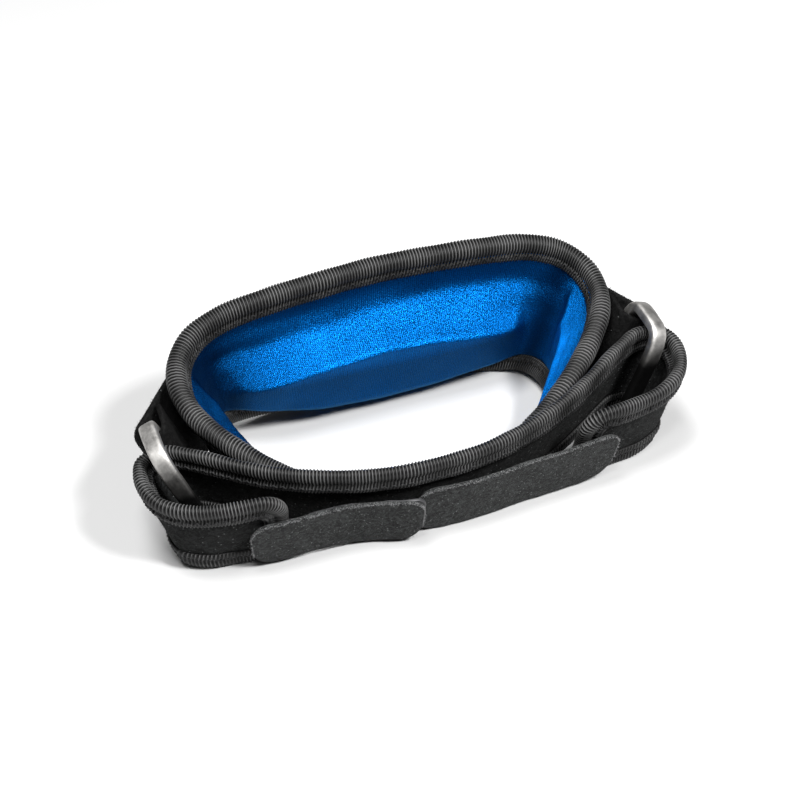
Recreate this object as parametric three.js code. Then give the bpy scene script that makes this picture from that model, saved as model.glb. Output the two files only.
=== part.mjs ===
// Elbow support wrap: a bound neoprene panel with a padded lining, two metal rings on sewn tabs,
// and a bound strap that runs across the front, loops through both rings and closes on itself.
// Millimetres, +Z up, front towards -Y, standing on its lower edges at Z = 0.
import * as THREE from "three";

// Driving dimensions
const FOAM_THICK = 3;
const LINING_THICK = 0.9;
const LINING_GAP = 0.5;
const SHEET_GAP = 0.3;
const STRAP_WIDTH = 34;
const STRAP_THICK = 2.7;
const STRAP_EDGE = 1.9;
const STRAP_PRESS = 0.5;
const TAB_LOW = 3;
const TAB_HIGH = 24.5;
const TAB_THICK = 1.4;
const PATCH_LOW = 9.2;
const PATCH_HIGH = 23;
const HOOK_THICK = 1.2;
const GRIP_THICK = 1.1;
const RING_LENGTH = 45;
const RING_DEPTH = 22.7;
const RING_BAR_WIDE = 3.6;
const RING_BAR_THICK = 5.4;
const RING_LEAN = 0.38;
const RING_X = 74.2;
const RING_Y = -14.9;
const RING_Z = 22.2;
const RING_TAB_HEIGHT = 28;
const RING_TAB_THICK = 1.6;
const RING_TAB_EYE = 4.5;
const RING_TAB_RISE = 2.5;
const RING_TAB_AWAY = 4.1;
const RING_TAB_BELOW = 21;
const FLANGE = 6;
const LIP_DROP = 3.6;
const BODY_LEAN = 0.044;
const BODY_DIP = 0.07;
const BODY_FLOOR = 1.7;
const BODY_CORNER = 7;
const STRAP_CORNER = 8;
const TAB_CORNER = 7;
const PATCH_CORNER = 5;
const GRIP_CORNER = 4;

// Shift that puts the middle of the plan on the Z axis.
const PLAN_SHIFT_Y = -0.86;

// Right half of the body panel, from the middle of the back round to the front end.
// Columns: upper edge x, y, z, lower edge x, y, z, pad height of the lining.
const BODY_ROWS = [
  [0, 33.5, 56.5, 0, 37.5, 1.7, 11],
  [18, 32.8, 56.2, 17.5, 37.2, 1.9, 11],
  [36, 32, 55.2, 33.5, 36, 3, 10],
  [52, 31.2, 53, 46, 32.8, 5, 7],
  [62.5, 28, 50, 53.2, 27.6, 6.8, 3.5],
  [68.6, 22, 46.5, 56.6, 20.8, 7.8, 2],
  [70.8, 14.2, 42.8, 57, 13, 8, 1.6],
  [69.2, 6.5, 39, 55.5, 5.8, 7.4, 1.6],
  [63.8, -0.4, 34, 51.8, -0.4, 6, 1.6],
  [56, -6.6, 28.4, 47, -5.4, 4.2, 1.6],
  [48, -11.6, 23.2, 41.5, -9.6, 2.8, 1.6],
  [40, -15.4, 18.8, 35.6, -12, 2, 1.6],
  [33, -18.4, 16.2, 30, -14, 1.9, 1.6],
];

// Right half of the strap, from the middle of the inner run through the ring to the outer end.
// Columns: upper edge x, y, height of the lower edge, lean in x, lean in y (per mm of rise).
const STRAP_ROWS = [
  [0, -34, 0, 0, -0.24],
  [13, -33.3, 0, 0.03, -0.24],
  [26, -30.5, 0, 0.08, -0.22],
  [38, -26, 0, 0.14, -0.19],
  [49, -20.8, 0.4, 0.2, -0.15],
  [58.5, -15.4, 1.7, 0.27, -0.09],
  [66.5, -10.6, 3.7, 0.33, -0.03],
  [72.5, -7.2, 5, RING_LEAN, 0],
  [77.3, -4.9, 5.6, RING_LEAN, 0],
  [82.2, -4.6, 5.6, RING_LEAN, 0],
  [86.7, -6.8, 5.6, RING_LEAN, 0],
  [88.4, -12.2, 4.8, 0.35, -0.01],
  [87.9, -17.6, 3.2, 0.3, -0.06],
  [85.4, -22.6, 2, 0.25, -0.11],
  [81.2, -26.2, 1.2, 0.21, -0.17],
  [75, -29, 0.6, 0.17, -0.21],
  [67.5, -30.5, 0.2, 0.14, -0.24],
  [59, -31.3, 0, 0.1, -0.24],
  [50, -31.6, 0, 0.07, -0.24],
];

// Where the ring tabs are sewn down, as shares of the panel's length.
const RING_TAB_SEAM = [0.69, 0.706, 0.722, 0.738, 0.754];

// Closing tabs, left to right. Columns as for the strap.
const LEFT_TAB_ROWS = [
  [-62, -35, -0.8, -0.11, -0.24],
  [-50, -35.4, -1, -0.07, -0.24],
  [-40, -35.3, -1, -0.05, -0.24],
  [-30, -35.7, -1, -0.03, -0.24],
  [-20, -37.7, -1, -0.02, -0.24],
  [-13, -40, -1, 0, -0.24],
  [-6.5, -41, -1, 0, -0.24],
  [-4, -41.1, -1, 0, -0.24],
];
const RIGHT_TAB_ROWS = [
  [-8, -37.5, -1.6, 0, -0.24],
  [0, -38.1, -2, 0, -0.24],
  [10, -38.4, -2.2, 0.02, -0.24],
  [20, -37.8, -2.2, 0.04, -0.24],
  [30, -36.9, -2, 0.05, -0.24],
  [40, -36.4, -2, 0.06, -0.24],
  [50, -36, -1.4, 0.08, -0.24],
  [62, -35.2, -0.8, 0.11, -0.24],
];

// Binding sections. Columns: distance past the edge, distance along the face normal.
const BODY_BINDING = [
  [-FLANGE, 3.3],
  [-5.6, 4.2],
  [-3, 4],
  [0.3, 4.4],
  [2.2, 2.5],
  [2.2, -1.1],
  [0.3, -3],
  [-3, -2.5],
  [-5.6, -2.8],
  [-FLANGE, -1.85],
  [0.4, -1.8],
  [0.4, 3.25],
];
const STRAP_BINDING = [
  [-6.5, 2],
  [-6.1, 2.7],
  [0, 2.9],
  [STRAP_EDGE, 1.3],
  [STRAP_EDGE, -1.3],
  [0, -2.9],
  [-6.1, -2.7],
  [-6.5, -2],
  [0.35, -1.95],
  [0.35, 1.95],
];

// Lining face below the upper binding. Columns: share of the open height, rise, share of the pad.
const LINING_FACE = [
  [1, 0, 0],
  [0.95, 0.4, 0.02],
  [0.8, 0.4, 0.22],
  [0.65, 0.2, 0.58],
  [0.51, 0, 1],
  [0.28, 0, 0.87],
  [0.05, 0, 0.72],
];

const vec = (x, y, z) => new THREE.Vector3(x, y, z);
const clamp01 = (x) => Math.min(1, Math.max(0, x));

// A ruled surface between two edge curves, addressed by distance along it, height and offset.
class Band {
  constructor(upper, lower, parts) {
    this.upper = new THREE.CatmullRomCurve3(upper);
    this.lower = new THREE.CatmullRomCurve3(lower);
    this.spacing = this.upper.getLengths((upper.length - 1) * parts);
    this.upper.arcLengthDivisions = 600;
    this.length = this.upper.getLength();
  }
  param(d) {
    return this.upper.getUtoTmapping(0, Math.min(this.length, Math.max(0, d)));
  }
  height(d) {
    const t = this.param(d);
    return this.upper.getPoint(t).distanceTo(this.lower.getPoint(t));
  }
  mid(d, h) {
    const t = this.param(d);
    const past = d - Math.min(this.length, Math.max(0, d));
    const a = this.lower.getPoint(t);
    const b = this.upper.getPoint(t);
    const point = a.clone().lerp(b, h / a.distanceTo(b));
    return point.addScaledVector(this.upper.getTangent(t), past);
  }
  frame(d, h) {
    const along = this.mid(d + 0.4, h).sub(this.mid(d - 0.4, h)).normalize();
    const rise = this.mid(d, h + 1).sub(this.mid(d, h)).normalize();
    const normal = along.clone().cross(rise).normalize();
    return { along, rise, normal };
  }
  at(d, h, n) {
    return this.mid(d, h).addScaledVector(this.frame(d, h).normal, n);
  }
}

// The panel is worn slightly askew: its upper edge leans to +X and its lower edge dips on that side.
function bodyBand() {
  const mirror = (r) => [-r[0], r[1], r[2], -r[3], r[4], r[5]];
  const rows = [...BODY_ROWS.slice(1).reverse().map(mirror), ...BODY_ROWS];
  const dip = (r) => BODY_DIP * r[3] * clamp01((r[4] + 5) / 20);
  const upper = rows.map((r) => vec(r[0] + BODY_LEAN * r[2], r[1], r[2]));
  const lower = rows.map((r) => vec(r[3], r[4], Math.max(BODY_FLOOR, r[5] - dip(r))));
  return new Band(upper, lower, 2);
}

function strapBand(rows) {
  const rise = (r) => vec(r[3], r[4], 1).setLength(STRAP_WIDTH);
  const upper = rows.map((r) => vec(r[0], r[1], r[2] + rise(r).z - STRAP_PRESS));
  const lower = rows.map((r, i) => upper[i].clone().sub(rise(r)));
  return new Band(upper, lower, 2);
}

function mirrored(rows) {
  const left = rows.slice(1).map((r) => [-r[0], r[1], r[2], -r[3], r[4]]);
  return [...left.reverse(), ...rows];
}

// Joins equal rings of points into one closed solid; open runs get ladder caps.
function loft(rings, closed) {
  const m = rings[0].length;
  const points = rings.flat();
  const faces = [];
  const runs = closed ? rings.length : rings.length - 1;
  for (let i = 0; i < runs; i++) {
    const a = i * m;
    const b = ((i + 1) % rings.length) * m;
    for (let j = 0; j < m; j++) {
      const k = (j + 1) % m;
      faces.push(a + j, b + j, b + k, a + j, b + k, a + k);
    }
  }
  if (!closed) {
    const z = (rings.length - 1) * m;
    for (let j = 0; j < m / 2 - 1; j++) {
      const p = m - 1 - j;
      faces.push(j, j + 1, p - 1, j, p - 1, p);
      faces.push(z + j, z + p - 1, z + j + 1, z + j, z + p, z + p - 1);
    }
  }
  let volume = 0;
  for (let i = 0; i < faces.length; i += 3) {
    const cross = points[faces[i + 1]].clone().cross(points[faces[i + 2]]);
    volume += points[faces[i]].dot(cross);
  }
  if (volume < 0) {
    faces.reverse();
  }
  const geometry = new THREE.BufferGeometry();
  geometry.setFromPoints(points);
  geometry.setIndex(faces);
  geometry.computeVertexNormals();
  return geometry;
}

// Distances from d0 to d1: arcs of the rounded ends, and the band's own marks between them.
function stations(band, d0, d1, radius) {
  const arc = [0, 0.08, 0.29, 0.62, 1].map((share) => radius * share);
  const inner = band.spacing.filter((d) => d > d0 + radius + 1.5 && d < d1 - radius - 1.5);
  const start = arc.map((a) => d0 + a);
  const end = arc.map((a) => d1 - a).reverse();
  return [...start, ...inner, ...end];
}

// How far a rounded corner cuts into each edge at distance d.
function cornerCut(d, d0, d1, radius) {
  const inset = Math.max(0, radius - Math.min(d - d0, d1 - d));
  return radius - Math.sqrt(Math.max(0, radius * radius - inset * inset));
}

// A sheet between offsets n0 and n1, with rounded ends.
function sheet(band, d0, d1, low, high, n0, n1, radius, rungs) {
  const rings = stations(band, d0, d1, radius).map((d) => {
    const cut = cornerCut(d, d0, d1, radius);
    const ring = [];
    for (let j = 0; j <= rungs; j++) {
      const h = low + cut + ((high(d) - low - 2 * cut) * j) / rungs;
      ring.push(band.at(d, h, n0));
    }
    for (let j = rungs; j >= 0; j--) {
      const h = low + cut + ((high(d) - low - 2 * cut) * j) / rungs;
      ring.push(band.at(d, h, n1));
    }
    return ring;
  });
  return loft(rings, false);
}

// The outline of a bound panel, upper edge first.
// Columns: distance, height, share of the outward direction along the band, share across it.
function outline(band, d0, d1, low, high, radius) {
  const run = stations(band, d0, d1, radius).map((d) => {
    const inset = Math.max(0, radius - Math.min(d - d0, d1 - d)) / radius;
    const along = d - d0 < d1 - d ? -inset : inset;
    const across = Math.sqrt(1 - inset * inset);
    return [d, cornerCut(d, d0, d1, radius), along, across];
  });
  const upper = run.map(([d, cut, along, across]) => [d, high(d) - cut, along, across]);
  const lower = run.map(([d, cut, along, across]) => [d, low + cut, along, -across]);
  return [...upper, ...lower.reverse()];
}

// Folded tape round an outline: the section is set across the edge and pressed flat on Z = 0.
function binding(band, path, section) {
  const rings = path.map(([d, h, along, across]) =>
    section.map(([o, n]) => {
      const p = band.at(d + o * along, h + o * across, n);
      return p.setZ(Math.max(0, p.z));
    }),
  );
  return loft(rings, true);
}

// The lining follows the foam; its open face swells into a pad with a crease and a lower lip.
function lining(band) {
  const low = 0.3;
  const face = FOAM_THICK / 2 + LINING_GAP;
  const flat = face + LINING_THICK;
  const d1 = band.length;
  const rings = stations(band, 0, d1, BODY_CORNER).map((d) => {
    const cut = cornerCut(d, 0, d1, BODY_CORNER);
    const tall = band.height(d);
    const fit = (h) => low + cut + ((h - low) / (tall - 2 * low)) * (tall - 2 * (low + cut));
    const full = clamp01((Math.min(d, d1 - d) - 9) / 5);
    const pad = padAt(band, d);
    const drop = LIP_DROP * clamp01((pad - 1.6) / 9.4);
    const base = FLANGE + 0.8;
    const open = tall - 2 * base;
    const inner = [[tall - low, 0]];
    for (const [share, rise, swell] of LINING_FACE) {
      inner.push([base + share * open, rise + swell * pad]);
    }
    inner.push([base + 0.1 - drop, 0.62 * pad]);
    inner.push([base, 0.2 + 0.25 * pad]);
    inner.push([base - 0.4, 0]);
    inner.push([low, 0]);
    const front = inner.map(([h, n]) => band.at(d, fit(h), flat + n * full));
    const back = inner.map((_, j) => {
      const h = tall - low - ((tall - 2 * low) * j) / (inner.length - 1);
      return band.at(d, fit(h), face);
    });
    return [...front, ...back.reverse()];
  });
  return loft(rings, false);
}

function padAt(band, d) {
  const half = BODY_ROWS.length - 1;
  const place = Math.abs(2 * band.param(d) - 1) * half;
  const i = Math.min(half - 1, Math.floor(place));
  return THREE.MathUtils.lerp(BODY_ROWS[i][6], BODY_ROWS[i + 1][6], place - i);
}

// Ring axes for one side: centre, direction up the long bars, direction to the back bar, thickness.
function ringFrame(side) {
  const up = vec(side * RING_LEAN, 0, 1).normalize();
  const back = vec(0, 1, 0);
  const front = vec(side * RING_X, RING_Y, RING_Z);
  const reach = RING_DEPTH - RING_BAR_WIDE;
  return { up, back, front, through: up.clone().cross(back), reach };
}

function ring(side) {
  const { up, back, front, through, reach } = ringFrame(side);
  const centre = front.clone().addScaledVector(back, reach / 2);
  const corner = 4;
  const halfUp = (RING_LENGTH - RING_BAR_WIDE) / 2 - corner;
  const halfBack = reach / 2 - corner;
  const wide = RING_BAR_WIDE / 2;
  const thick = RING_BAR_THICK / 2;
  const rings = [];
  for (let i = 0; i < 20; i++) {
    const quarter = Math.floor(i / 5);
    const angle = ((quarter + (i % 5) / 4) * Math.PI) / 2;
    const across = vec(0, 0, 0);
    across.addScaledVector(up, Math.cos(angle)).addScaledVector(back, Math.sin(angle));
    const spot = centre.clone();
    spot.addScaledVector(up, quarter === 0 || quarter === 3 ? halfUp : -halfUp);
    spot.addScaledVector(back, quarter < 2 ? halfBack : -halfBack);
    spot.addScaledVector(across, corner);
    const section = [];
    for (let j = 0; j < 8; j++) {
      const turn = ((j + 0.5) * Math.PI) / 4;
      const p = spot.clone().addScaledVector(across, wide * 1.08 * Math.cos(turn));
      section.push(p.addScaledVector(through, thick * 1.08 * Math.sin(turn)));
    }
    rings.push(section);
  }
  return loft(rings, true);
}

// Sewn strip on the outside of the panel, round the back bar of the ring and back on itself.
function ringTab(band, side) {
  const { up, back, front, reach } = ringFrame(side);
  const bar = front.clone().addScaledVector(back, reach).addScaledVector(up, RING_TAB_RISE);
  const stops = RING_TAB_SEAM.map((share) => {
    const d = band.length * (side > 0 ? share : 1 - share);
    const middle = band.height(d) - RING_TAB_BELOW;
    const { rise } = band.frame(d, middle);
    return { spot: band.at(d, middle, -RING_TAB_AWAY), rise };
  });
  const last = stops[stops.length - 1];
  const run = bar.clone().sub(last.spot).projectOnPlane(up).normalize();
  const out = run.clone().cross(up).multiplyScalar(-side);
  const turn = [0, 36, 72, 108, 144, 180].map((degrees) => {
    const angle = THREE.MathUtils.degToRad(degrees);
    const spot = bar.clone().addScaledVector(out, RING_TAB_EYE * Math.cos(angle));
    return { spot: spot.addScaledVector(run, RING_TAB_EYE * Math.sin(angle)), rise: up };
  });
  const bridge = [0.25, 0.5, 0.75].map((share) => ({
    spot: last.spot.clone().lerp(turn[0].spot, share),
    rise: last.rise.clone().lerp(up, share).normalize(),
  }));
  const meet = last.spot.clone().lerp(turn[0].spot, 0.55);
  meet.addScaledVector(out, -RING_TAB_THICK - 0.5);
  const path = [...stops, ...bridge, ...turn, { spot: meet, rise: up }];
  const rungs = [-0.5, -0.17, 0.17, 0.5].map((share) => share * RING_TAB_HEIGHT);
  const rings = path.map(({ spot, rise }, i) => {
    const before = path[Math.max(0, i - 1)].spot;
    const after = path[Math.min(path.length - 1, i + 1)].spot;
    const face = after.clone().sub(before).cross(rise).setLength(RING_TAB_THICK / 2);
    const line = rungs.map((h) => spot.clone().addScaledVector(rise, h));
    const inner = line.map((p) => p.clone().sub(face));
    const outer = line.map((p) => p.clone().add(face));
    return [...inner, ...outer.reverse()];
  });
  return loft(rings, false);
}

const root = new THREE.Group();
root.name = "elbow_support_wrap";
const wrap = new THREE.Group();
wrap.position.y = PLAN_SHIFT_Y;
root.add(wrap);

function add(name, geometry, finish) {
  const mesh = new THREE.Mesh(geometry, new THREE.MeshStandardMaterial(finish));
  mesh.name = name;
  wrap.add(mesh);
}

const FOAM = { color: 0x1b1c1f, roughness: 0.85, metalness: 0 };
const LINING = { color: 0x0f4fd0, roughness: 0.5, metalness: 0 };
const TAPE = { color: 0x141416, roughness: 0.7, metalness: 0 };
const FELT = { color: 0x2d2f30, roughness: 1, metalness: 0 };
const HOOKS = { color: 0x101012, roughness: 1, metalness: 0 };
const GRIP = { color: 0x161617, roughness: 0.55, metalness: 0 };
const METAL = { color: 0x8d8f92, roughness: 0.4, metalness: 1 };

// Body panel
const body = bodyBand();
const bodyTop = (d) => body.height(d);
const foam = FOAM_THICK / 2;
add("body_shell", sheet(body, 0, body.length, 0, bodyTop, -foam, foam, BODY_CORNER, 3), FOAM);
add("lining", lining(body), LINING);
const bodyPath = outline(body, 0, body.length, 0, bodyTop, BODY_CORNER);
add("body_binding", binding(body, bodyPath, BODY_BINDING), TAPE);

// Strap
const strap = strapBand(mirrored(STRAP_ROWS));
const strapTop = () => STRAP_WIDTH - STRAP_EDGE;
const core = STRAP_THICK / 2;
const strapCore = sheet(strap, 0, strap.length, STRAP_EDGE, strapTop, -core, core, STRAP_CORNER, 2);
add("strap", strapCore, FELT);
const strapPath = outline(strap, 0, strap.length, STRAP_EDGE, strapTop, STRAP_CORNER);
add("strap_binding", binding(strap, strapPath, STRAP_BINDING), TAPE);

// Closing tabs with their hook patches and grip
const leftTab = strapBand(LEFT_TAB_ROWS);
const rightTab = strapBand(RIGHT_TAB_ROWS);
const leftEnd = leftTab.length - 2.5;
const tabTop = () => TAB_HIGH;
const tab = TAB_THICK / 2;
const leftFelt = sheet(leftTab, 0, leftEnd, TAB_LOW, tabTop, -tab, tab, TAB_CORNER, 1);
add("left_tab", leftFelt, FELT);
const rightFelt = sheet(rightTab, 0, rightTab.length, TAB_LOW, tabTop, -tab, tab, TAB_CORNER, 1);
add("right_tab", rightFelt, FELT);

const under = -tab - SHEET_GAP;
function hookPatch(band, d0, d1) {
  return sheet(band, d0, d1, PATCH_LOW, () => PATCH_HIGH, under - HOOK_THICK, under, PATCH_CORNER, 1);
}
add("left_hook_patch", hookPatch(leftTab, 17, 38), HOOKS);
add("right_hook_patch", hookPatch(rightTab, 5, 40), HOOKS);
const gripTop = () => TAB_HIGH - 2;
const gripLow = TAB_LOW + 2;
const grip = sheet(leftTab, 41, leftEnd + 0.8, gripLow, gripTop, under - GRIP_THICK, under, GRIP_CORNER, 1);
add("pull_tab", grip, GRIP);

// Rings and the tabs that hold them
const SIDES = [
  ["left", -1],
  ["right", 1],
];
for (const [word, side] of SIDES) {
  add(word + "_ring", ring(side), METAL);
  add(word + "_ring_tab", ringTab(body, side), FOAM);
}

export default root;
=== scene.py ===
import bpy
import numpy as np
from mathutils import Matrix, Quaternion, Vector


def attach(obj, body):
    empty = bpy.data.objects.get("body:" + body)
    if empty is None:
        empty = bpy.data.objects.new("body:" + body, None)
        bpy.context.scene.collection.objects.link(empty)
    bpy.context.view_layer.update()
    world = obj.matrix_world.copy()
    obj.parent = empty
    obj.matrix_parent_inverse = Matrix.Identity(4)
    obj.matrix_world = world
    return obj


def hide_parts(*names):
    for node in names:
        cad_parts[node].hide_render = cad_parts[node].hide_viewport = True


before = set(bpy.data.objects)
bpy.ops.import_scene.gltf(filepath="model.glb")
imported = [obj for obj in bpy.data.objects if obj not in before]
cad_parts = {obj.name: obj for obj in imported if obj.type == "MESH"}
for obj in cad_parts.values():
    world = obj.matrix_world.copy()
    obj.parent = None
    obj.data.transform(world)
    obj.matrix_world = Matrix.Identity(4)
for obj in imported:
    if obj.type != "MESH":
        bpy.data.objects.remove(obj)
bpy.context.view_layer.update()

# Body panel
# A band of thin neoprene foam faced with black jersey, cut tall behind the elbow and low at its two
# front ends. The other parts are sewn to it, so its surface also places the lining, tape and tabs.
MM = 0.001
PLAN_SHIFT = np.array([0, -0.86, 0])
FOAM_THICK = 3.0
PANEL_CORNER = 7.0
PANEL_LEAN = 0.044
PANEL_DIP = 0.07
PANEL_FLOOR = 1.7
# Right half of the panel in mm. Columns: upper edge x, y, z, lower edge x, y, z
PANEL_ROWS = np.array([
    [0, 33.5, 56.5, 0, 37.5, 1.7],
    [18, 32.8, 56.2, 17.5, 37.2, 1.9],
    [36, 32, 55.2, 33.5, 36, 3],
    [52, 31.2, 53, 46, 32.8, 5],
    [62.5, 28, 50, 53.2, 27.6, 6.8],
    [68.6, 22, 46.5, 56.6, 20.8, 7.8],
    [70.8, 14.2, 42.8, 57, 13, 8],
    [69.2, 6.5, 39, 55.5, 5.8, 7.4],
    [63.8, -0.4, 34, 51.8, -0.4, 6],
    [56, -6.6, 28.4, 47, -5.4, 4.2],
    [48, -11.6, 23.2, 41.5, -9.6, 2.8],
    [40, -15.4, 18.8, 35.6, -12, 2],
    [33, -18.4, 16.2, 30, -14, 1.9],
])


def unit(v):
    """Vectors scaled to length 1."""
    return v / np.linalg.norm(v, axis=-1, keepdims=True)


def rail(points):
    """A centripetal Catmull-Rom curve through the points, as a function of t from 0 to 1, with an
    equal share of t for each span. Each span is a cubic whose end slopes weigh the two chords that
    meet there by the square roots of their lengths."""
    points = np.asarray(points, float)
    spans = len(points) - 1
    p = np.vstack([2 * points[0] - points[1], points, 2 * points[-1] - points[-2]])
    root = np.sqrt(np.maximum(np.linalg.norm(np.diff(p, axis=0), axis=1), 1e-9))

    def at(t):
        """The span's ends blended by 3u^2 - 2u^3, plus its end slopes by u(1-u)^2 and -u^2(1-u)."""
        x = np.clip(t, 0, 1) * spans
        i = np.minimum(x.astype(int), spans - 1)
        u = (x - i)[..., None]
        a, b, c, d = (p[i + k] for k in range(4))
        r, s, w = (root[i + k][..., None] for k in range(3))
        leave = ((b - a) / r - (c - a) / (r + s) + (c - b) / s) * s
        arrive = ((c - b) / s - (d - b) / (s + w) + (d - c) / w) * s
        bend = u * u * (3 - 2 * u)
        return b + (c - b) * bend + leave * u * (1 - u) ** 2 - arrive * u * u * (1 - u)

    return at


class Band:
    """A strip ruled between two edge curves. A place on it is d mm along its upper edge, h mm up
    from its lower edge and n mm off its face, which looks along the upper edge times the rise."""

    def __init__(self, upper, lower):
        """Takes both edges' points and sums the upper edge's run over short chords."""
        self.upper, self.lower = rail(upper), rail(lower)
        self.share = np.linspace(0, 1, 3001)
        steps = np.diff(self.upper(self.share), axis=0)
        self.run = np.append(0, np.cumsum(np.linalg.norm(steps, axis=1)))
        self.length = self.run[-1]

    def t(self, d):
        """The edges' parameter at distance d, read off the run."""
        return np.interp(d, self.run, self.share)

    def height(self, d):
        """The distance between the two edges at distance d."""
        t = self.t(d)
        return np.linalg.norm(self.upper(t) - self.lower(t), axis=-1)

    def mid(self, d, h):
        """A point of the bare surface. Past an end it goes on in the end's direction."""
        inside = np.clip(d, 0, self.length)
        t = self.t(inside)
        low, high = self.lower(t), self.upper(t)
        onward = unit(self.upper(t + 1e-4) - self.upper(t - 1e-4))
        return low + unit(high - low) * h[..., None] + onward * (d - inside)[..., None]

    def normal(self, d, h):
        """The face's direction: a short step along the strip crossed with a short step up it."""
        along = self.mid(d + 0.4, h) - self.mid(d - 0.4, h)
        return unit(np.cross(along, self.mid(d, h + 1) - self.mid(d, h)))

    def at(self, d, h, n):
        """The surface's point moved n mm along the face's direction, set in its place in plan."""
        d, h, n = (np.array(x, float) for x in np.broadcast_arrays(d, h, n))
        return self.mid(d, h) + self.normal(d, h) * n[..., None] + PLAN_SHIFT


def skin(points, u, v, loop_u=False, loop_v=False, relief=0.0):
    """One grid of points (mm) as quads, with UV in mm and a relief value from 0, low, to 1, high.
    loop_u and loop_v join its last row or column to its first."""
    nu, nv = points.shape[:2]
    rows, cols = np.arange(nu - 1 + loop_u), np.arange(nv - 1 + loop_v)
    a, b = np.meshgrid(rows, cols, indexing="ij")
    row = np.stack([a, a + 1, a + 1, a], -1).reshape(-1, 4)
    col = np.stack([b, b, b + 1, b + 1], -1).reshape(-1, 4)
    whole = (nu + loop_u, nv + loop_v)
    u, v = np.broadcast_to(u, whole), np.broadcast_to(v, whole)
    uv = np.stack([u[row, col], v[row, col]], -1)
    faces = (row % nu) * nv + col % nv
    return points.reshape(-1, 3), faces, uv, np.broadcast_to(relief, (nu, nv)).ravel()


def shell(front, back, u, v, relief=0.0):
    """A closed wall: two grids of one shape, the back one turned over, and strips round their rim."""
    def strip(a, b):
        """Quads between two lines of the rim."""
        pair = np.stack([a, b], 1)
        return skin(pair, np.arange(len(pair))[:, None] * 0.5, np.array([0, 1.0]))

    u, v = np.broadcast_arrays(u, v)
    over = skin(back[:, ::-1], u[:, ::-1], v[:, ::-1], relief=np.broadcast_to(relief, u.shape)[:, ::-1])
    sides = [strip(back[:, 0], front[:, 0]), strip(front[:, -1], back[:, -1])]
    ends = [strip(front[0], back[0]), strip(back[-1], front[-1])]
    return [skin(front, u, v, relief=relief), over, *sides, *ends]


def make_piece(name, skins, material, slot, *nodes):
    """Welds the skins' shared points, drops collapsed corners, turns the faces outwards, and hands
    the piece to the frame in place of the named nodes."""
    starts = np.cumsum([0] + [len(s[0]) for s in skins[:-1]])
    points = np.concatenate([s[0] for s in skins])
    faces = np.concatenate([s[1] + k for s, k in zip(skins, starts)])
    uv = np.concatenate([s[2] for s in skins])
    relief = np.concatenate([s[3] for s in skins])
    _, first, same = np.unique(np.round(points, 3), axis=0, return_index=True, return_inverse=True)
    points, relief, faces = points[first], relief[first], same.reshape(-1)[faces]
    a, b, c, d = (points[faces[:, k]] for k in range(4))
    if np.sum(a * (np.cross(b, c) + np.cross(c, d))) < 0:
        faces, uv = faces[:, ::-1], uv[:, ::-1]
    keep = faces != np.roll(faces, 1, axis=1)
    keep[keep.sum(1) < 3] = False
    corners = keep.sum(1)
    corners = corners[corners > 0]
    mesh = bpy.data.meshes.new(name)
    mesh.vertices.add(len(points))
    mesh.vertices.foreach_set("co", (points * MM).ravel())
    mesh.loops.add(int(corners.sum()))
    mesh.loops.foreach_set("vertex_index", faces[keep].astype(np.int32))
    mesh.polygons.add(len(corners))
    mesh.polygons.foreach_set("loop_start", np.append(0, np.cumsum(corners)[:-1]).astype(np.int32))
    mesh.update(calc_edges=True)
    mesh.uv_layers.new(name="UVMap").data.foreach_set("uv", (uv[keep] * MM).ravel())
    mesh.attributes.new("relief", "FLOAT", "POINT").data.foreach_set("value", relief)
    mesh.shade_smooth()
    mesh.materials.append(material)
    piece = bpy.data.objects.new(name, mesh)
    bpy.context.scene.collection.objects.link(piece)
    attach(piece, "root")
    if nodes:
        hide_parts(*nodes)
    return piece


def gather(x, ends=0.8):
    """Even shares from 0 to 1 drawn closer together towards both ends."""
    return x - ends * np.sin(2 * np.pi * x) / (2 * np.pi)


def corner_cut(d, d0, d1, radius):
    """How far a rounded end corner cuts into each edge at distance d."""
    inset = np.clip(radius - np.minimum(d - d0, d1 - d), 0, radius)
    return radius - np.sqrt(radius**2 - inset**2)


def cut_cloth(d0, d1, low, high, radius, nu, nv):
    """The flat cut of a rounded strip as a grid: its distances, heights and the way in from its
    nearest edge, which is the signed distance to a rounded rectangle."""
    d = (d0 + (d1 - d0) * gather(np.linspace(0, 1, nu)))[:, None]
    top = high(d[:, 0])[:, None] if callable(high) else high
    cut = corner_cut(d, d0, d1, radius)
    h = low + cut + (top - low - 2 * cut) * gather(np.linspace(0, 1, nv))[None, :]
    x = np.abs(d - (d0 + d1) / 2) - (d1 - d0) / 2 + radius
    y = np.abs(h - (low + top) / 2) - (top - low) / 2 + radius
    far = np.hypot(np.maximum(x, 0), np.maximum(y, 0)) + np.minimum(np.maximum(x, y), 0)
    return np.broadcast_to(d, h.shape), h, np.maximum(radius - far, 0)


def lumps(x, y, size, seed):
    """Soft unevenness from -1 to 1: a sum of waves of about that size in random directions."""
    rng = np.random.default_rng(seed)
    total = 0.0
    for _ in range(7):
        turn, phase = rng.uniform(0, 2 * np.pi, 2)
        pitch = size * rng.uniform(0.6, 1.6)
        total = total + np.sin(2 * np.pi * (x * np.cos(turn) + y * np.sin(turn)) / pitch + phase)
    return total / 4


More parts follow.
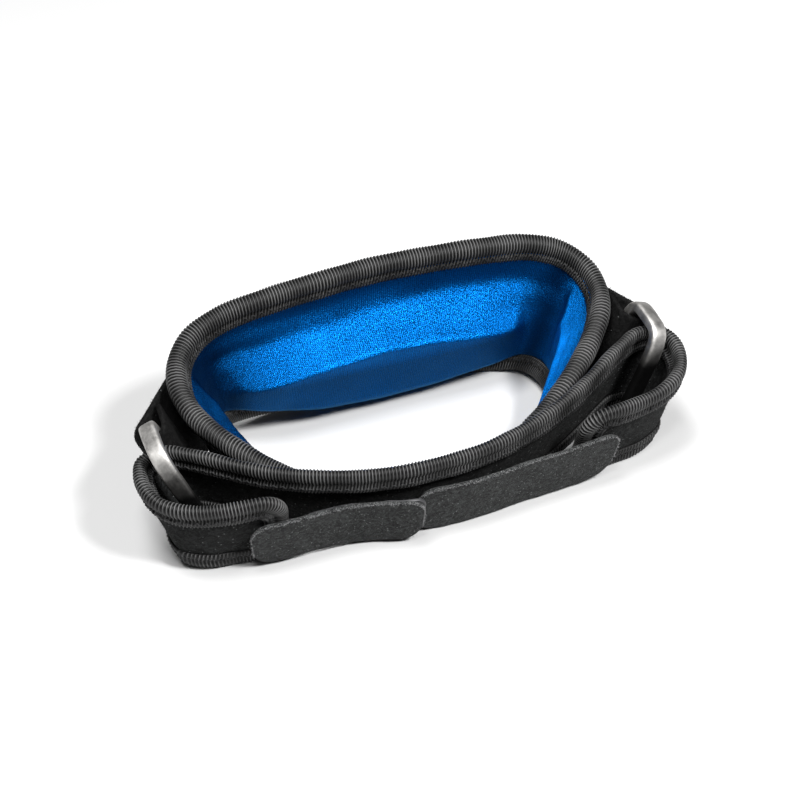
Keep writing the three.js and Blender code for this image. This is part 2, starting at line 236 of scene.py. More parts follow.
def cloth_slab(band, cut, thick, edge, lift=0.0, bump=0.0, seed=0):
    """A slab of cloth on a band from its flat cut: its two faces swell from nothing at the rim to
    the whole thickness over a quarter-round edge, with a little unevenness."""
    d, h, inward = cut
    swell = np.sqrt(1 - (1 - np.clip(inward / edge, 0, 1)) ** 2)
    front = swell * (thick / 2 + bump * lumps(d, h, 9, seed))
    back = -swell * (thick / 2 + bump * lumps(d, h, 9, seed + 1))
    outer, inner = skin(band.at(d, h, lift + front), d, h), band.at(d, h, lift + back)
    return [outer, skin(inner[:, ::-1], d[:, ::-1], h[:, ::-1])]


def new_finish(name, **sockets):
    """A Principled finish whose even values are set on the shader's own sockets."""
    material = bpy.data.materials.new(name)
    material.use_nodes = True
    shader = material.node_tree.nodes["Principled BSDF"]
    for socket in shader.inputs:
        key = socket.name.lower().replace(" ", "_")
        if key in sockets:
            socket.default_value = sockets[key]
    return material


def node(material, kind, inputs, **settings):
    """Adds a shader node. inputs gives its sockets values, or outputs of other nodes."""
    made = material.node_tree.nodes.new("ShaderNode" + kind)
    for key, value in settings.items():
        setattr(made, key, value)
    for key, value in inputs.items():
        if isinstance(value, bpy.types.NodeSocket):
            material.node_tree.links.new(value, made.inputs[key])
        else:
            made.inputs[key].default_value = value
    return made.outputs


def calc(material, operation, a, b=0.0):
    """One step of arithmetic on two numbers or outputs."""
    return node(material, "Math", {0: a, 1: b}, operation=operation)[0]


def wire(material, **links):
    """Links outputs to the shader's sockets."""
    shader = material.node_tree.nodes["Principled BSDF"]
    for key, output in links.items():
        socket = next(s for s in shader.inputs if s.name.lower().replace(" ", "_") == key)
        material.node_tree.links.new(output, socket)


def blend_colours(material, share, low, high):
    """A colour from low, at share 0, to high, at share 1."""
    return node(material, "Mix", {0: share, 6: (*low, 1), 7: (*high, 1)}, data_type="RGBA")[2]


def knit_finish(name, deep, bright, wale, course, depth, **sockets):
    """Jersey knit on the UV map: wales are rounded columns, and each holds rows of loops that slant up
    towards its middle. The loops' height gives the bump and lightens the yarn, as painted shade between
    the loops; painted glints lighten single loops, and the relief attribute darkens the yarn as painted
    shade."""
    mat = new_finish(name, **sockets)
    uv = node(mat, "TexCoord", {})["UV"]
    place = node(mat, "SeparateXYZ", {0: uv})
    column = calc(mat, "PINGPONG", calc(mat, "DIVIDE", place["X"], wale * MM), 0.5)
    row = calc(mat, "DIVIDE", place["Y"], course * MM)
    rise = calc(mat, "ADD", row, calc(mat, "MULTIPLY", column, 1.6))
    loop = calc(mat, "PINGPONG", rise, 0.5)
    height = calc(mat, "ADD", column, calc(mat, "MULTIPLY", loop, 0.9))
    fleck = node(mat, "TexNoise", {"Vector": uv, "Scale": 1800.0, "Detail": 2.0})[0]
    cloud = node(mat, "TexNoise", {"Vector": uv, "Scale": 60.0, "Detail": 3.0})[0]
    # Painted glints: flecks that lighten single loops in the base colour.
    glint = node(mat, "MapRange", {0: fleck, 1: 0.36, 2: 0.66, 3: 0.06, 4: 1.5})[0]
    # The loops' height lightens the yarn, as painted shade between the loops.
    light = calc(mat, "MULTIPLY", height, calc(mat, "ADD", glint, calc(mat, "MULTIPLY", cloud, 0.7)))
    # The relief attribute darkens the yarn as painted shade.
    painted_shade = node(mat, "Attribute", {}, attribute_name="relief")["Fac"]
    light = calc(mat, "MULTIPLY", light, calc(mat, "SUBTRACT", 1.0, painted_shade))
    wire(mat, base_color=blend_colours(mat, light, deep, bright))
    fall = calc(mat, "ADD", height, calc(mat, "MULTIPLY", fleck, 1.1))
    bump = node(mat, "Bump", {"Strength": 0.9, "Distance": depth * MM, "Height": fall})[0]
    wire(mat, normal=bump)
    return mat


halves = PANEL_ROWS[1:][::-1] * np.array([-1, 1, 1, -1, 1, 1])
panel_rows = np.vstack([halves, PANEL_ROWS])
# The panel sits slightly askew: its upper edge leans to +X and its lower edge dips on that side
panel_rows[:, 0] += PANEL_LEAN * panel_rows[:, 2]
dip = PANEL_DIP * panel_rows[:, 3] * np.clip((panel_rows[:, 4] + 5) / 20, 0, 1)
panel_rows[:, 5] = np.maximum(PANEL_FLOOR, panel_rows[:, 5] - dip)
panel = Band(panel_rows[:, :3], panel_rows[:, 3:])
jersey = knit_finish(
    "black_jersey", (0.006, 0.006, 0.007), (0.03, 0.031, 0.034), 0.8, 0.6, 0.12,
    roughness=0.8, specular_ior_level=0.2, sheen_weight=0.03,
)
panel_cut = cut_cloth(0, panel.length, 0, panel.height, PANEL_CORNER, 200, 40)
panel_piece = make_piece(
    "panel_foam",
    cloth_slab(panel, panel_cut, FOAM_THICK, 1.4, bump=0.12, seed=3),
    jersey, "foam_panel", "body_shell",
)
mean_height = float(np.mean(panel.height(np.linspace(0, panel.length, 200))))
tallest = float(panel.height(np.array([panel.length / 2]))[0])

# Lining
# Royal blue knit laid over a foam pad inside the panel. Behind the elbow the pad stands out in a long
# bolster with a crease along it; the side walls have a flatter pad with a fold under the edge tape.
LINING_GAP = 0.5
LINING_FACE = FOAM_THICK / 2 + LINING_GAP
LINING_THICK = 0.9
TAPE_COVER = 5.9
# A row for each panel row. Columns: pad height, share of the open height where it creases,
# how slowly its upper face swells, how far its lower face falls back, drop of its lower lip
PAD_ROWS = np.array([
    [13.0, 0.58, 2.6, 0.26, 5.2],
    [12.8, 0.545, 2.6, 0.26, 4.6],
    [11.8, 0.475, 2.5, 0.34, 2.4],
    [8.0, 0.40, 2.2, 0.36, 0.9],
    [1.6, 0.45, 1.6, 0.30, 0.2],
    [1.6, 0.78, 1.2, 0.50, 0.0],
    [5.6, 0.69, 1.0, 0.75, 0.0],
    [6.0, 0.65, 1.0, 0.75, 0.0],
    [5.6, 0.60, 1.0, 0.75, 0.0],
    [4.2, 0.62, 1.0, 0.70, 0.0],
    [2.2, 0.65, 1.0, 0.60, 0.0],
    [1.4, 0.50, 1.0, 0.40, 0.0],
    [1.2, 0.50, 1.0, 0.40, 0.0],
])
CREASE_ROUND = 0.45
CREASE_TILT = 0.11
TILT_END, TILT_FADE = 0.42, 0.15
# Painted shade on the knit: the first value darkens the pad's two corners and its left part, the second
# darkens it under the upper tape and on the lower face. Places count panel rows from the middle.
PAINTED_SHADE, EDGE_SHADE = 0.88, 0.62
CORNER_PLACE, CORNER_WIDE = 4.4, 1.1
LEFT_START, LEFT_FADE = 1.1, 2.4
UPPER_FADE = 0.3
LOWER_START, LOWER_FADE = 0.5, 0.12


def lining_profile(d, x):
    """Height and swell of the pad at distance d, x from 0, at the upper tape, to 1, at the lower lip.
    The upper face rises as a power of the way down to the crease and the lower face falls back from
    it; a soft minimum of the two rounds the crease."""
    way = 2 * panel.t(d) - 1
    pad, crease, slow, fall, drop = np.moveaxis(rail(PAD_ROWS)(np.abs(way)), -1, 0)
    crease = crease + CREASE_TILT * way * np.clip((TILT_END - np.abs(way)) / TILT_FADE, 0, 1)
    tall = panel.height(d)
    share = 1 - x
    upper = pad * ((1 - share) / (1 - crease)) ** slow
    lower = pad * (1 - fall * (crease - share) / crease)
    swell = -CREASE_ROUND * np.log(np.exp(-upper / CREASE_ROUND) + np.exp(-lower / CREASE_ROUND))
    swell = np.maximum(swell + CREASE_ROUND * np.log(2) * np.exp(-x * 12), 0)
    furrow = 0.35 * np.sin(2 * np.pi * (x * 3.1 + 0.25 * np.sin(d / 23)))
    furrow = furrow * np.exp(-((x - 0.25) / 0.2) ** 2)
    swell = swell + furrow * np.clip(pad / 6, 0, 1) + 0.12 * lumps(d, x * 40, 16, 11)
    turn = np.clip((x - 0.93) / 0.07, 0, 1)
    height = TAPE_COVER + share * (tall - 2 * TAPE_COVER) - drop * turn
    return height, swell * np.sqrt(np.clip(1 - turn**2, 0, 1))


royal_knit = knit_finish(
    "royal_blue_knit", (0.0001, 0.003, 0.022), (0.0018, 0.17, 0.62), 0.7, 0.55, 0.2,
    metallic=0.82, roughness=0.36, specular_ior_level=0.4, specular_tint=(0.04, 0.7, 1.0, 1.0),
)
lining_d = np.linspace(0.6, panel.length - 0.6, 300)[:, None]
lining_x = np.concatenate([gather(np.linspace(0, 1, 80), 0.5), [1.0, 1.0]])[None, :]
lining_h, lining_n = lining_profile(*np.broadcast_arrays(lining_d, lining_x))
reach = np.minimum(lining_d, panel.length - lining_d)
lining_n = lining_n * np.clip((reach - 8) / 8, 0, 1)
end_cut = corner_cut(lining_d, 0, panel.length, PANEL_CORNER) + 0.4
lining_h[:, :1] = panel.height(lining_d) - end_cut
lining_h[:, -1:] = end_cut
lining_n[:, [0, -1, -2]] = 0
lining_h = np.clip(lining_h, end_cut, panel.height(lining_d) - end_cut)
lining_u, lining_v = np.broadcast_arrays(lining_d, panel.height(lining_d) * (1 - lining_x) * 1.1)
lining_place = (2 * panel.t(lining_u) - 1) * (len(PAD_ROWS) - 1)
# Painted shade: darker at the pad's corners, on its left part, under the tape and on the lower face; the
# relief attribute carries it to the finish.
painted_shade = PAINTED_SHADE * np.exp(-(((np.abs(lining_place) - CORNER_PLACE) / CORNER_WIDE) ** 2))
painted_shade = np.maximum(painted_shade, PAINTED_SHADE * np.clip((-lining_place - LEFT_START) / LEFT_FADE, 0, 1))
shade_under_tape = np.clip(1 - lining_x / UPPER_FADE, 0, 1)
shade_on_lower_face = np.clip((lining_x - LOWER_START) / LOWER_FADE, 0, 1) * (np.abs(lining_place) < CORNER_PLACE)
painted_shade = np.maximum(painted_shade, EDGE_SHADE * np.maximum(shade_under_tape, shade_on_lower_face))
lining_piece = make_piece(
    "lining_pad",
    shell(
        panel.at(lining_d, lining_h, LINING_FACE + LINING_THICK + lining_n),
        panel.at(lining_d, lining_h, LINING_FACE),
        lining_u, lining_v, painted_shade,
    ),
    royal_knit, "lining_knit", "lining",
)

# Panel tape
# Black elastic tape with raised cross ribs, folded over the panel's edge all the way round and sewn
# through near its hem, so that it stands as a round roll beside a flat flange.
RIB_PITCH = 1.05
RIB_STEPS = 6
RIB_RELIEF = 0.38
# Sections of the folded tape. Columns: mm past the edge, mm off the face
PANEL_TAPE = [
    (-5.8, 2.95), (-5.5, 3.3), (-4.6, 3.55), (-3.7, 3.4), (-3.1, 3.05), (-2.5, 3.05), (-1.8, 3.4),
    (-0.6, 3.65), (0.7, 3.25), (1.6, 2.25), (1.95, 0.8), (1.75, -0.7), (1.15, -1.65), (0.2, -2.2),
    (-0.9, -2.4), (-1.9, -2.15), (-2.5, -1.85), (-3.1, -1.85), (-3.8, -2.15), (-4.6, -2.25),
    (-5.5, -2.1), (-5.8, -1.8),
]
PANEL_SLOT = [(-5.7, -1.65), (0.2, -1.65), (0.2, 2.9), (-5.7, 2.9)]


def bound_edge(band, low, high, radius, pitch, steps):
    """The outline that a tape follows, in equal steps, with a whole number of ribs. Columns: distance,
    height, and the outward direction's shares along and across the band."""
    phi = np.linspace(0, np.pi / 2, 60)
    start, end = radius * (1 - np.cos(phi)), band.length - radius * (1 - np.cos(phi[::-1]))
    d = np.concatenate([start, np.linspace(start[-1], end[0], 900)[1:-1], end])
    inset = np.clip(radius - np.minimum(d, band.length - d), 0, radius) / radius
    along = np.where(d < band.length / 2, -inset, inset)
    across = np.sqrt(1 - inset**2)
    cut = radius * (1 - across)
    upper = np.stack([d, high(d) - cut, along, across], -1)
    lower = np.stack([d, low + cut, along, -across], -1)[::-1]
    path = np.vstack([upper, lower, upper[:1]])
    line = band.at(path[:, 0], path[:, 1], 0)
    run = np.append(0, np.cumsum(np.linalg.norm(np.diff(line, axis=0), axis=1)))
    ribs = round(run[-1] / pitch)
    s = np.arange(ribs * steps) * (run[-1] / (ribs * steps))
    return s, np.stack([np.interp(s, run, path[:, k]) for k in range(4)], -1), ribs, run[-1]


def folded_tape(band, edge, section, slot, relief):
    """The tape's section carried along the edge. Ribs are round ridges with narrow grooves between
    them, pushed out along the section's own normal and slanted on the flanges."""
    s, path, ribs, length = edge
    outer = rail(section)(np.linspace(0, 1, 21))
    lean = np.gradient(outer, axis=0)
    out = unit(np.stack([-lean[:, 1], lean[:, 0]], -1))
    out *= np.sign(np.sum(out * (outer - outer.mean(0)), -1, keepdims=True).sum())
    depth = np.ones(len(outer))
    depth[[0, -1]] = 0.3
    hidden = np.array(slot, float)
    ring = np.vstack([outer, hidden])
    out = np.vstack([out, np.zeros_like(hidden)])
    depth = np.append(depth, np.zeros(len(hidden)))
    slant = np.clip(-ring[:, 0] - 3, 0, None) * 0.3 * np.sign(ring[:, 1])
    drift = 0.3 * np.sin(2 * np.pi * s / length * 5) + 0.2 * np.sin(2 * np.pi * s / length * 23)
    phase = (s / length * ribs + drift)[:, None] + slant
    ridge = ((1 + np.cos(2 * np.pi * phase)) / 2) ** 2
    uneven = 1 + 0.25 * np.sin(np.floor(phase + 0.5) * 12.9898)
    push = relief * ridge * uneven * depth
    o = ring[:, 0] + out[:, 0] * push
    n = ring[:, 1] + out[:, 1] * push
    d, h, along, across = (path[:, k, None] for k in range(4))
    points = band.at(d + o * along, h + o * across, n)
    points[..., 2] = np.maximum(points[..., 2], 0)
    wide = np.append(0, np.cumsum(np.linalg.norm(np.diff(ring, axis=0), axis=1)))
    wide = np.append(wide, wide[-1] + 5)
    u, v = np.append(s, length)[:, None], wide[None, :]
    return [skin(points, u, v, True, True, ridge * depth * uneven)]


def tape_finish():
    """Twisted black yarn: the ribs' crowns, by the square of relief, are greyer than the grooves as a
    painted highlight, with painted shade leaving the grooves near black, and a fine bump of fibres runs
    along them."""
    mat = new_finish("ribbed_black_tape", roughness=0.5, specular_ior_level=0.18)
    uv = node(mat, "TexCoord", {})["UV"]
    relief = node(mat, "Attribute", {}, attribute_name="relief")["Fac"]
    strand = node(mat, "Mapping", {"Vector": uv, "Scale": (1.0, 0.3, 1.0)})[0]
    fibre = node(mat, "TexNoise", {"Vector": strand, "Scale": 5000.0, "Detail": 2.0})[0]
    wear = node(mat, "TexNoise", {"Vector": uv, "Scale": 45.0, "Detail": 3.0})[0]
    # Painted highlight on the rib crowns and painted shade in the grooves.
    crown = calc(mat, "MULTIPLY", calc(mat, "POWER", relief, 2.0), calc(mat, "ADD", fibre, wear))
    wire(mat, base_color=blend_colours(mat, crown, (0.0006, 0.0006, 0.0006), (0.078, 0.078, 0.078)))
    wire(mat, normal=node(mat, "Bump", {"Strength": 0.6, "Distance": 0.1 * MM, "Height": fibre})[0])
    return mat


black_tape = tape_finish()
panel_edge = bound_edge(panel, 0, panel.height, PANEL_CORNER, RIB_PITCH, RIB_STEPS)
panel_tape = make_piece(
    "panel_tape", folded_tape(panel, panel_edge, PANEL_TAPE, PANEL_SLOT, RIB_RELIEF),
    black_tape, "ribbed_tape", "body_binding",
)

# Panel stitching
# A zigzag of dark grey thread, sewn by machine along the tape's groove. It goes through the tape, foam
# and lining, so it shows on both faces.
ZIGZAG_PITCH = 2.8
THREAD = 0.2
# A row for each face. Columns: mm past the edge of the inner and the outer line, mm off the face
PANEL_ZIGZAG = [(-4.6, -2.8, 3.5), (-4.6, -2.8, -2.2)]


def thread_finish(name, colour):
    """Spun thread: a fine noise of twist between the colour and half of it."""
    mat = new_finish(name, roughness=0.6, specular_ior_level=0.3)
    place = node(mat, "TexCoord", {})["Object"]
    twist = node(mat, "TexNoise", {"Vector": place, "Scale": 3000.0, "Detail": 1.0})[0]
    dark = tuple(0.5 * c for c in colour)
    wire(mat, base_color=blend_colours(mat, twist, dark, colour))
    return mat


def many(points):
    """Skins for N small tubes at once: points are N by rings by sides, closed by points at both ends."""
    count, rings, sides = points.shape[:3]
    one = skin(points[0], np.arange(rings)[:, None], np.arange(sides + 1.0)[None, :], loop_v=True)
    faces = (one[1][None] + (np.arange(count) * rings * sides)[:, None, None]).reshape(-1, 4)
    uv = np.broadcast_to(one[2], (count, *one[2].shape)).reshape(-1, 4, 2)
    return [(points.reshape(-1, 3), faces, uv, np.zeros(points[..., 0].size))]


def stitches(a, b, up, radius, sides=5):
    """A short bowed thread from each point a to its point b, standing a little proud along up."""
    t = np.array([0, 0.08, 0.5, 0.92, 1.0])
    swell = np.array([0, 0.9, 1, 0.9, 0]) * radius
    line = a[:, None] + (b - a)[:, None] * t[:, None]
    line = line + up[:, None] * (np.sin(np.pi * t) * 1.5 * radius)[:, None]
    side = unit(np.cross(b - a, up))
    turn = np.arange(sides) * 2 * np.pi / sides
    round_ = side[:, None] * np.cos(turn)[:, None] + up[:, None] * np.sin(turn)[:, None]
    return many(line[:, :, None] + round_[:, None] * swell[:, None, None])


def zigzag(band, edge, inner, outer, lift, pitch, radius):
    """Stitches that go to and fro between two lines set in from a bound edge, on one face."""
    s, path, _, length = edge
    count = round(length / pitch) * 2
    at = np.linspace(0, length, count, endpoint=False)
    d, h, along, across = (np.interp(at, s, path[:, k], period=length) for k in range(4))
    o = np.where(np.arange(count) % 2, inner, outer)
    points = band.at(d + o * along, h + o * across, lift)
    up = band.normal(d, h) * np.sign(lift)
    ahead = np.roll(points, -1, axis=0)
    ok = np.linalg.norm(ahead - points, axis=1) < 3 * pitch
    return stitches(points[ok], ahead[ok], up[ok], radius)


grey_thread = thread_finish("dark_grey_thread", (0.014, 0.014, 0.015))
panel_stitching = make_piece(
    "panel_stitching",
    [part for row in PANEL_ZIGZAG for part in zigzag(panel, panel_edge, *row, ZIGZAG_PITCH, THREAD)],
    grey_thread, "ribbed_tape",
)

# Rings
# Two oblong rings of cast and plated metal, worn to a dull pewter. The tabs hold their back bars and
# the strap runs out round their front bars; they lean outwards with the strap.
RING_LENGTH = 45.0
RING_DEPTH = 22.7
RING_BAR_WIDE = 3.6
RING_BAR_THICK = 5.4
RING_LEAN = 0.38
RING_FRONT = np.array([74.2, -14.9, 22.2])
RING_SQUARE = 4.5
BAR_SQUARE = 3.8


def ring_axes(side):
    """A ring's own directions: up its long bars, back to its back bar, and through its opening."""
    up = unit(np.array([side * RING_LEAN, 0, 1.0]))
    back = np.array([0, 1.0, 0])
    return up, back, np.cross(up, back), RING_FRONT * np.array([side, 1, 1]) + PLAN_SHIFT


def superellipse(turn, power):
    """Points where |x|^power + |y|^power = 1, at the given turns."""
    x, y = np.cos(turn), np.sin(turn)
    return np.sign(x) * np.abs(x) ** (2 / power), np.sign(y) * np.abs(y) ** (2 / power)


def ring_skin(side, dull, bright):
    """A bar with a flattened round section carried round an oblong path; both are superellipses. The bar
    is slightly dented. Relief is the share of bright plating: painted shade makes it none up to the
    height dull and whole from the height bright, and it is most along the bar's edges."""
    up, back, through, front = ring_axes(side)
    reach = RING_DEPTH - RING_BAR_WIDE
    x, y = superellipse(np.linspace(0, 2 * np.pi, 2001), RING_SQUARE)
    line = np.stack([x * (RING_LENGTH - RING_BAR_WIDE) / 2, y * reach / 2], -1)
    run = np.append(0, np.cumsum(np.linalg.norm(np.diff(line, axis=0), axis=1)))
    s = np.linspace(0, run[-1], 140, endpoint=False)
    place = np.stack([np.interp(s, run, line[:, k]) for k in range(2)], -1)
    lean = unit(np.roll(place, -1, axis=0) - np.roll(place, 1, axis=0))
    out = np.stack([lean[:, 1], -lean[:, 0]], -1)
    tau = np.linspace(0, 2 * np.pi, 28, endpoint=False)
    wide, thick = superellipse(tau, BAR_SQUARE)
    dent = 1 + 0.025 * lumps(s[:, None], tau[None, :] * 3, 9, 21)
    flat = place[:, None] + out[:, None] * (wide * RING_BAR_WIDE / 2 * dent)[..., None]
    through = through * (thick * RING_BAR_THICK / 2 * dent)[..., None]
    points = front + back * reach / 2 + flat[..., :1] * up + flat[..., 1:] * back + through
    edge_bright = 0.55 + 0.45 * np.abs(np.sin(2 * tau)) ** 3
    # Painted shade: the bars turn black below the height dull.
    shade_and_edges = np.clip((points[..., 2] - dull) / (bright - dull), 0, 1) * edge_bright
    u, v = np.append(s, run[-1])[:, None], np.append(tau, 2 * np.pi)[None, :] * 2.2
    return [skin(points, u, v, True, True, shade_and_edges)]


def pewter_finish():
    """Worn plating: cloudy grey, brighter along its edges, with fine scratches along the bars; painted
    shade, by the relief attribute, takes the lower bars to near black.
    """
    mat = new_finish("worn_pewter", metallic=1.0)
    place = node(mat, "TexCoord", {})["Object"]
    uv = node(mat, "TexCoord", {})["UV"]
    shade_and_edges = node(mat, "Attribute", {}, attribute_name="relief")["Fac"]
    cloud = node(mat, "TexNoise", {"Vector": place, "Scale": 260.0, "Detail": 6.0, "Roughness": 0.7})[0]
    drawn = node(mat, "Mapping", {"Vector": uv, "Scale": (0.08, 1.0, 1.0)})[0]
    scratch = node(mat, "TexNoise", {"Vector": drawn, "Scale": 4000.0, "Detail": 3.0})[0]
    # Painted shade: the relief attribute takes the lower bars' tone to near black.
    tone = calc(mat, "MULTIPLY", shade_and_edges, calc(mat, "ADD", calc(mat, "MULTIPLY", cloud, 2.0), -0.05))
    wire(mat, base_color=blend_colours(mat, tone, (0.012, 0.012, 0.012), (0.56, 0.548, 0.53)))
    dull = calc(mat, "ADD", calc(mat, "MULTIPLY", cloud, 0.2), calc(mat, "MULTIPLY", scratch, 0.3))
    wire(mat, roughness=calc(mat, "ADD", dull, 0.34))
    wire(mat, normal=node(mat, "Bump", {"Strength": 0.35, "Distance": 0.05 * MM, "Height": scratch})[0])
    return mat


pewter = pewter_finish()
SIDES = {"left": -1, "right": 1}
# Heights in mm between which painted shade fades from the bars' black lower parts to their bright upper
# parts
SHADE_HEIGHTS = {"left": (25, 41), "right": (31, 42)}
for word, side in SIDES.items():
    make_piece(f"{word}_ring_bar", ring_skin(side, *SHADE_HEIGHTS[word]), pewter, "ring_metal", f"{word}_ring")

# Ring tabs
# A strip of black loop cloth for each ring, sewn flat on the outside of the panel, taken round the
# ring's back bar and turned in on itself. Its raw edge is a little fluffy.
TAB_STRIP_HEIGHT = 36.0
TAB_STRIP_THICK = 1.6
TAB_EYE = 4.5
TAB_EYE_LONG = 6.0
TAB_RISE = 2.5
TAB_AWAY = 4.1
TAB_BELOW = 21.0
TAB_SEAM = np.array([0.69, 0.706, 0.722, 0.738, 0.754])


def ring_tab_band(side):
    """The strip's way: along the seam on the panel, straight to the bar, half a turn round it, and
    back inside. The rise turns from the panel's own to the ring's on the way."""
    up, back, _, front = ring_axes(side)
    bar = front + back * (RING_DEPTH - RING_BAR_WIDE) + up * TAB_RISE
    d = panel.length * (TAB_SEAM if side > 0 else 1 - TAB_SEAM)
    middle = panel.height(d) - TAB_BELOW
    seam = panel.at(d, middle, -TAB_AWAY)
    rise = unit(panel.mid(d, middle + 1) - panel.mid(d, middle))
    away = bar - seam[-1]
    run = unit(away - up * (away @ up))
    out = np.cross(run, up) * -side
    turn = np.radians(np.arange(0, 181, 22.5))[:, None]
    eye = bar + TAB_EYE * out * np.cos(turn) + TAB_EYE_LONG * run * np.sin(turn)
    share = np.array([0.25, 0.5, 0.75])[:, None]
    bridge = seam[-1] + (eye[0] - seam[-1]) * share
    tucked = seam[-1] + (eye[0] - seam[-1]) * 0.55 - out * (TAB_STRIP_THICK + 0.5)
    rises = [rise, unit(rise[-1] * (1 - share) + up * share), np.tile(up, (len(eye) + 1, 1))]
    spots = np.vstack([seam, bridge, eye, tucked]) - PLAN_SHIFT
    tall = np.vstack(rises) * TAB_STRIP_HEIGHT
    return Band(spots + tall * 0.4, spots - tall * 0.6)


def felt_finish(name, deep, pale, speck, sheen=0.05):
    """Loop felt: matted fibres in two sizes of noise, flecked with pale fibre ends."""
    mat = new_finish(
        name, roughness=0.9, specular_ior_level=0.1, sheen_weight=sheen, sheen_roughness=0.5,
    )
    place = node(mat, "TexCoord", {})["Object"]
    fine = {"Vector": place, "Scale": 2600.0, "Detail": 3.0, "Roughness": 0.75}
    hair = node(mat, "TexNoise", fine)[0]
    nap = node(mat, "TexNoise", {"Vector": place, "Scale": 420.0, "Detail": 4.0, "Distortion": 2.0})[0]
    tone = calc(mat, "POWER", calc(mat, "MULTIPLY", calc(mat, "ADD", hair, nap), 0.88), 6.0)
    cloth = blend_colours(mat, tone, deep, pale)
    spot = node(mat, "TexVoronoi", {"Vector": place, "Scale": 1100.0, "Randomness": 1.0})
    near = calc(mat, "LESS_THAN", spot["Distance"], 0.22)
    chosen = calc(mat, "GREATER_THAN", node(mat, "SeparateColor", {0: spot["Color"]})[0], 1 - speck)
    fleck = calc(mat, "MULTIPLY", calc(mat, "MULTIPLY", near, chosen), nap)
    mixed = node(mat, "Mix", {0: fleck, 6: cloth, 7: (0.25, 0.26, 0.26, 1)}, data_type="RGBA")[2]
    wire(mat, base_color=mixed)
    pile = calc(mat, "ADD", hair, nap)
    wire(mat, normal=node(mat, "Bump", {"Strength": 1.0, "Distance": 0.4 * MM, "Height": pile})[0])
    return mat


def fibres(roots, out, length, radius, seed):
    """Loose fibres: thin three-sided spindles that start in the cloth and bend away from out."""
    rng = np.random.default_rng(seed)
    count = len(roots)
    stray = rng.normal(0, 0.7, (count, 2, 3))
    long = (length * rng.uniform(0.5, 1.3, count))[:, None]
    first = unit(out + stray[:, 0]) * long * 0.5
    second = unit(out * 0.5 + stray[:, 1]) * long * 0.5
    line = np.stack([roots - out * 0.15, roots, roots + first, roots + first + second], 1)
    side = unit(np.cross(out, stray[:, 0] + 1e-3))
    other = unit(np.cross(side, out))
    turn = np.arange(3) * 2 * np.pi / 3
    round_ = side[:, None] * np.cos(turn)[:, None] + other[:, None] * np.sin(turn)[:, None]
    taper = np.array([0, 1, 0.8, 0]) * radius
    return many(line[:, :, None] + round_[:, None] * taper[:, None, None])


def nap_fibres(band, d0, d1, low, high, half, count, length, radius, seed):
    """Fibres scattered over both faces of a strip, at offset half on either side."""
    rng = np.random.default_rng(seed)
    d, h = rng.uniform(d0, d1, count), rng.uniform(low, high, count)
    face = rng.choice([-1.0, 1.0], count)
    out = band.normal(d, h) * face[:, None]
    return fibres(band.at(d, h, face * half), out, length, radius, seed + 1)


def edge_fibres(band, d0, d1, h, count, length, radius, seed):
    """Fibres at random places along a strip's upper edge, at height h, standing up from it."""
    rng = np.random.default_rng(seed)
    d = rng.uniform(d0, d1, count)
    level = np.full(count, float(h))
    rise = unit(band.mid(d, level + 1) - band.mid(d, level))
    roots = band.at(d, level, rng.uniform(-0.5, 0.5, count))
    return fibres(roots, rise, length, radius, seed + 1)


black_loop = felt_finish("black_loop_cloth", (0.0005, 0.0005, 0.0005), (0.007, 0.007, 0.007), 0.02, 0.0)
lint_thread = thread_finish("pale_lint", (0.28, 0.28, 0.285))
for word, side in SIDES.items():
    strip = ring_tab_band(side)
    cut = cut_cloth(0, strip.length, 0, TAB_STRIP_HEIGHT, 1.5, 100, 36)
    tab = make_piece(
        f"{word}_ring_strip", cloth_slab(strip, cut, TAB_STRIP_THICK, 0.7, bump=0.1, seed=31),
        black_loop, "foam_panel", f"{word}_ring_tab",
    )
    top = TAB_STRIP_HEIGHT - 0.2
    fluff = make_piece(
        f"{word}_ring_strip_fluff",
        edge_fibres(strip, 1, strip.length - 1, top, 600, 1.0, 0.045, 41)
        + nap_fibres(strip, 1, strip.length - 1, 1, top, 0.8, 1000, 0.7, 0.04, 43),
        black_loop, "foam_panel",
    )

# Strap
# A band of foam faced on both sides with loop felt, darker than the tabs' felt as painted shade. It
# crosses the front, runs out through each ring, turns round the ring's front bar and comes back outside
# itself.
STRAP_WIDTH = 34.0
STRAP_THICK = 2.2
STRAP_EDGE = 1.9
STRAP_CORNER = 8.0
STRAP_PRESS = 0.5
# Right half in mm. Columns: upper edge x, y, height of the lower edge, lean in x, lean in y
STRAP_ROWS = np.array([
    [0, -34, 0, 0, -0.24],
    [13, -33.3, 0, 0.03, -0.24],
    [26, -30.5, 0, 0.08, -0.22],
    [38, -26, 0, 0.14, -0.19],
    [49, -20.8, 0.4, 0.2, -0.15],
    [58.5, -15.4, 1.7, 0.27, -0.09],
    [66.5, -10.6, 3.7, 0.33, -0.03],
    [72.5, -7.2, 5, RING_LEAN, 0],
    [77.3, -4.9, 5.6, RING_LEAN, 0],
    [82.2, -4.6, 5.6, RING_LEAN, 0],
    [86.7, -6.8, 5.6, RING_LEAN, 0],
    [88.4, -12.2, 4.8, 0.35, -0.01],
    [87.9, -17.6, 3.2, 0.3, -0.06],
    [85.4, -22.6, 2, 0.25, -0.11],
    [81.2, -26.2, 1.2, 0.21, -0.17],
    [75, -29, 0.6, 0.17, -0.21],
    [67.5, -30.5, 0.2, 0.14, -0.24],
    [59, -31.3, 0, 0.1, -0.24],
    [50, -31.6, 0, 0.07, -0.24],
])


def strap_band(rows):
    """The strap's surface: at each row a ruling one strap width long rises with the row's lean."""
    lean = np.column_stack([rows[:, 3], rows[:, 4], np.ones(len(rows))])
    rise = unit(lean) * STRAP_WIDTH
    upper = np.column_stack([rows[:, 0], rows[:, 1], rows[:, 2] + rise[:, 2] - STRAP_PRESS])
    return Band(upper, upper - rise)


